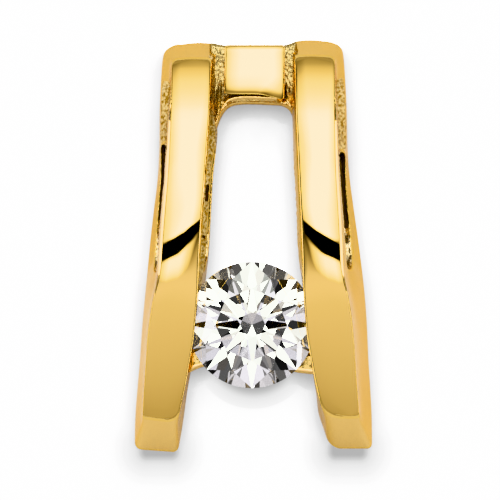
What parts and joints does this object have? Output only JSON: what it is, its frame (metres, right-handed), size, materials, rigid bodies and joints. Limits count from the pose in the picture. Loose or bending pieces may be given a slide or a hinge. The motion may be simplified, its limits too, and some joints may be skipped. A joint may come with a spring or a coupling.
{
  "type": "slide pendant",
  "caption": "Gold slide pendant of bowed bars joined by bridges, slotted from side to side for a chain, holding a round brilliant stone between the bars.",
  "frame": {"origin": "middle of the outline seen from the front, on the plane of the flat back", "axes": "+Z out of the front, +Y towards the top bridge, +X to the right seen from the front"},
  "size_m": [0.0098, 0.017, 0.0043],
  "materials": {
    "gold": "polished 14 karat yellow gold",
    "stone": "clear, faceted"
  },
  "bodies": {
    "root": {"slide_mount": "gold", "stone": "stone"}
  },
  "joints": []
}
